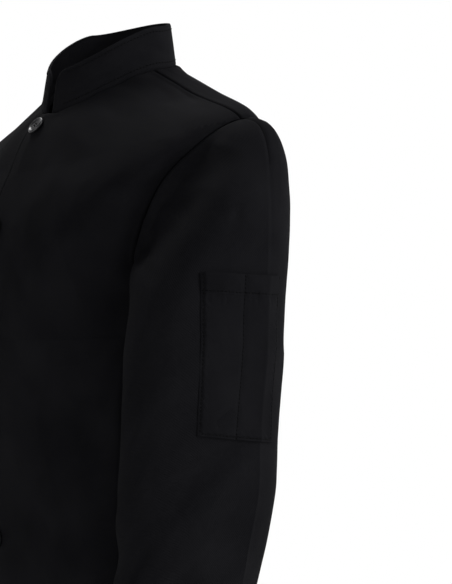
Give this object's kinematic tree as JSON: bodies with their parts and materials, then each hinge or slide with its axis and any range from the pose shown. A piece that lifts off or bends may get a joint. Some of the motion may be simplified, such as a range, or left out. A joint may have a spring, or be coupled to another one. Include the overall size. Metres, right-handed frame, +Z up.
{
  "type": "chef jacket",
  "caption": "Long-sleeved stand-collar work jacket in black twill, hollow and in its worn shape, with a pen pocket on the left upper sleeve.",
  "frame": {"origin": "middle of the neck opening, level with the collar seam at the side of the neck, where the wearer holds the jacket up", "axes": "+Z up along the body, -Y to the front of the jacket, +X to the wearer's left"},
  "size_m": [0.55, 0.2584, 0.7962],
  "materials": {
    "cloth": "black polyester and cotton twill, soft low sheen",
    "button": "black moulded plastic, satin"
  },
  "bodies": {
    "root": {"front_left": "cloth", "front_right": "cloth", "back": "cloth", "sleeve_left": "cloth", "sleeve_right": "cloth", "collar": "cloth", "sleeve_pocket": "cloth", "button_1": "button", "button_2": "button", "button_3": "button", "button_4": "button", "button_5": "button", "button_6": "button", "button_7": "button"}
  },
  "joints": []
}
